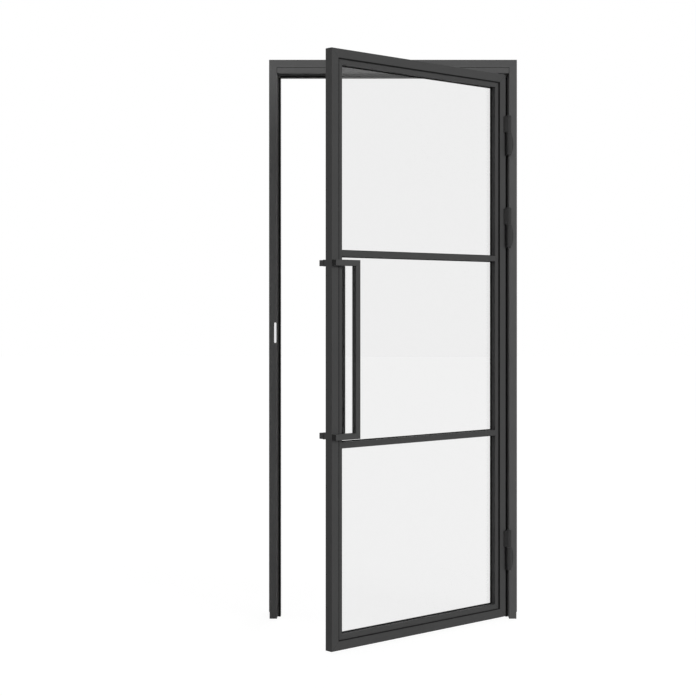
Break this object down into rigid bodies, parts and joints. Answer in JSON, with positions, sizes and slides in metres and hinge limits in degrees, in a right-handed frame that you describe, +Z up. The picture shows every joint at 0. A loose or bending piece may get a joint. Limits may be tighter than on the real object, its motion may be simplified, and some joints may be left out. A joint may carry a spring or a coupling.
{
  "type": "steel-framed glass door",
  "caption": "Glazed steel door: a slim framed leaf with horizontal muntins and a long pull handle, hung on barrel hinges in a slim tube frame.",
  "frame": {"origin": "on the hinge jamb's wall face, at the floor, in the middle of the jamb's depth", "axes": "+X out of the hinge jamb's wall face, +Y from the side that the leaf opens to towards the side with the stops and cover strips, +Z up"},
  "size_m": [0.924, 0.7167, 2.058],
  "materials": {
    "frame_steel": "fine-textured matt anthracite powder coat",
    "leaf_steel": "fine-textured matt anthracite powder coat",
    "handle_steel": "fine-textured matt anthracite powder coat",
    "hinge_steel": "matt anthracite paint, worn at the knuckles' rims",
    "bright_steel": "bright brushed steel",
    "seal_rubber": "matt black rubber",
    "glass": "clear float glass with polished edges"
  },
  "bodies": {
    "frame": {"head": "frame_steel", "head_cover": "frame_steel", "head_seal": "seal_rubber", "head_stop": "frame_steel", "hinge_cover": "frame_steel", "hinge_jamb": "frame_steel", "hinge_seal": "seal_rubber", "hinge_stop": "frame_steel", "lower_hinge_lower_knuckle": "hinge_steel", "lower_hinge_pin": "hinge_steel", "middle_hinge_lower_knuckle": "hinge_steel", "middle_hinge_pin": "hinge_steel", "strike_cover": "frame_steel", "strike_jamb": "frame_steel", "strike_plate": "bright_steel", "strike_seal": "seal_rubber", "strike_stop": "frame_steel", "upper_hinge_lower_knuckle": "hinge_steel", "upper_hinge_pin": "hinge_steel"},
    "leaf": {"bottom_bead": "leaf_steel", "bottom_rail": "leaf_steel", "free_bead": "leaf_steel", "free_stile": "leaf_steel", "hinge_bead": "leaf_steel", "hinge_stile": "leaf_steel", "lower_arm": "handle_steel", "lower_hinge_upper_knuckle": "hinge_steel", "lower_muntin": "leaf_steel", "lower_muntin_bead": "leaf_steel", "lower_pane": "glass", "lower_stub": "handle_steel", "middle_hinge_upper_knuckle": "hinge_steel", "middle_pane": "glass", "pull_bar": "handle_steel", "rear_bar": "handle_steel", "rear_lower_arm": "handle_steel", "rear_upper_arm": "handle_steel", "top_bead": "leaf_steel", "top_rail": "leaf_steel", "upper_arm": "handle_steel", "upper_hinge_upper_knuckle": "hinge_steel", "upper_muntin": "leaf_steel", "upper_muntin_bead": "leaf_steel", "upper_pane": "glass", "upper_stub": "handle_steel"}
  },
  "joints": [
    {"name": "leaf_swing", "type": "hinge", "parent": "frame", "child": "leaf", "pos_m": [-0.0295, -0.0745, 0], "axis": [0, 0, 1], "range_deg": [-43, 127]}
  ]
}
